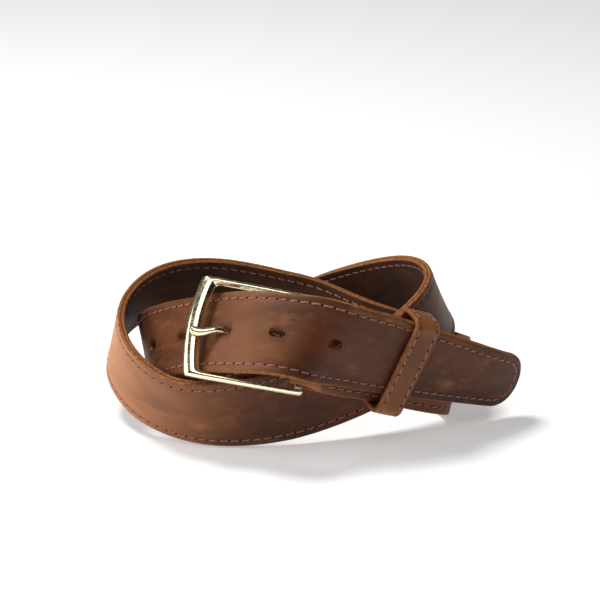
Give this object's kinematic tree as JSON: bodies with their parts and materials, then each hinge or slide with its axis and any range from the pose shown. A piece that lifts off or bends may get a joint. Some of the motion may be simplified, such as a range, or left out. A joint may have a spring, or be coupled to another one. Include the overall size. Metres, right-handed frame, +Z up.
{
  "type": "leather belt",
  "caption": "Stitched leather belt with a bevelled frame buckle and a sewn keeper, buckled and coiled on its edge.",
  "frame": {"origin": "centre of the bounding box's foot, on the surface the coil stands on", "axes": "+X towards the right bend of the coil, +Y away from the buckle, +Z up"},
  "size_m": [0.1924, 0.1458, 0.0782],
  "materials": {
    "face_leather": "waxed brown leather",
    "lining_leather": "dark brown lining leather",
    "thread": "waxed thread",
    "brass": "polished pale brass",
    "steel": "plain steel"
  },
  "bodies": {
    "strap": {"strap_outer": "face_leather", "strap_lining": "lining_leather", "edge_thread_face": "thread", "edge_thread_back": "thread", "fold_thread_near": "thread", "fold_thread_far": "thread"},
    "buckle": {"buckle_frame": "brass", "heel_bar": "steel"},
    "prong": {"prong": "brass"},
    "keeper": {"keeper_band": "face_leather", "keeper_thread_left": "thread", "keeper_thread_right": "thread", "keeper_staple": "steel"}
  },
  "joints": [
    {"name": "buckle_hinge", "type": "hinge", "parent": "strap", "child": "buckle", "pos_m": [-0.00378, -0.04828, 0.05145], "axis": [0.1719, 0.6161, 0.7686], "range_deg": [-0.3, 1]},
    {"name": "prong_hinge", "type": "hinge", "parent": "buckle", "child": "prong", "pos_m": [-0.00378, -0.04828, 0.05145], "axis": [0.1719, 0.6161, 0.7686], "range_deg": [-0.3, 0.8]},
    {"name": "keeper_slide", "type": "slide", "parent": "strap", "child": "keeper", "axis": [0.8357, 0.4165, -0.3579], "range_m": [-0.002, 0.005]}
  ]
}
